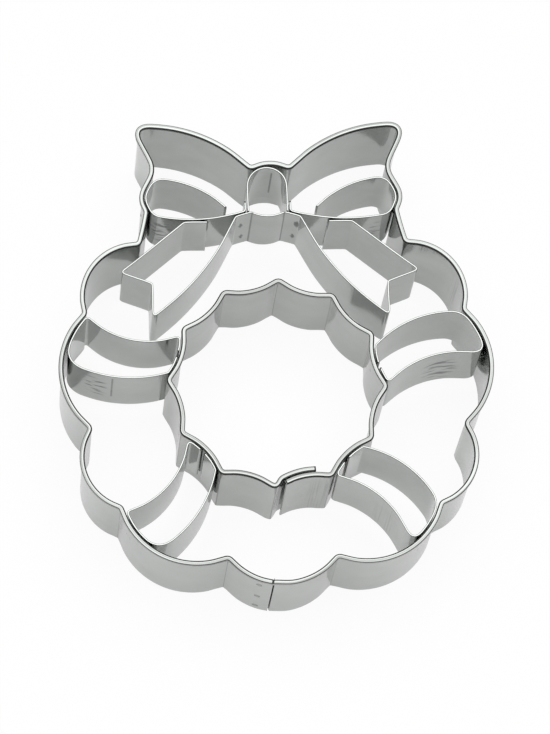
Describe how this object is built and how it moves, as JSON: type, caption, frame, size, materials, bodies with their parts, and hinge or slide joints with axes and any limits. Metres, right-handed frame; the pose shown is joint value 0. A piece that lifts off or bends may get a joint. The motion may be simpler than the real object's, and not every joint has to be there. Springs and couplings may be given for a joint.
{
  "type": "cookie cutter",
  "caption": "Wreath-shaped metal cookie cutter with a ribbon bow: scalloped outer wall and centre ring with rolled rims, and welded strips that emboss the ribbons.",
  "frame": {"origin": "middle of the overall outline, on the plane of the cutting edges", "axes": "+Z from the cutting edges up to the rolled rims, +Y from the wreath towards the bow"},
  "size_m": [0.085, 0.0948, 0.022],
  "materials": {
    "strip_steel": "satin strip",
    "weld_steel": "spot weld"
  },
  "bodies": {
    "root": {"outer_wall": "strip_steel", "weld_wall_lap_1": "weld_steel", "weld_wall_lap_2": "weld_steel", "weld_wall_lap_3": "weld_steel", "inner_ring": "strip_steel", "weld_ring_lap_1": "weld_steel", "weld_ring_lap_2": "weld_steel", "band_right": "strip_steel", "weld_band_right_wall": "weld_steel", "weld_band_right_ring": "weld_steel", "band_left": "strip_steel", "weld_band_left_wall": "weld_steel", "weld_band_left_ring": "weld_steel", "band_front_left": "strip_steel", "weld_band_front_left_wall": "weld_steel", "weld_band_front_left_ring": "weld_steel", "band_front_right": "strip_steel", "weld_band_front_right_wall": "weld_steel", "weld_band_front_right_ring": "weld_steel", "loop_right": "strip_steel", "weld_loop_right_wall": "weld_steel", "loop_left": "strip_steel", "weld_loop_left_wall": "weld_steel", "knot_arch": "strip_steel", "weld_arch_wall": "weld_steel", "ribbon_tails": "strip_steel", "weld_flap_right": "weld_steel", "weld_loop_right_tails": "weld_steel", "weld_loop_right_arch": "weld_steel", "weld_flap_left": "weld_steel", "weld_loop_left_tails": "weld_steel", "weld_loop_left_arch": "weld_steel"}
  },
  "joints": []
}
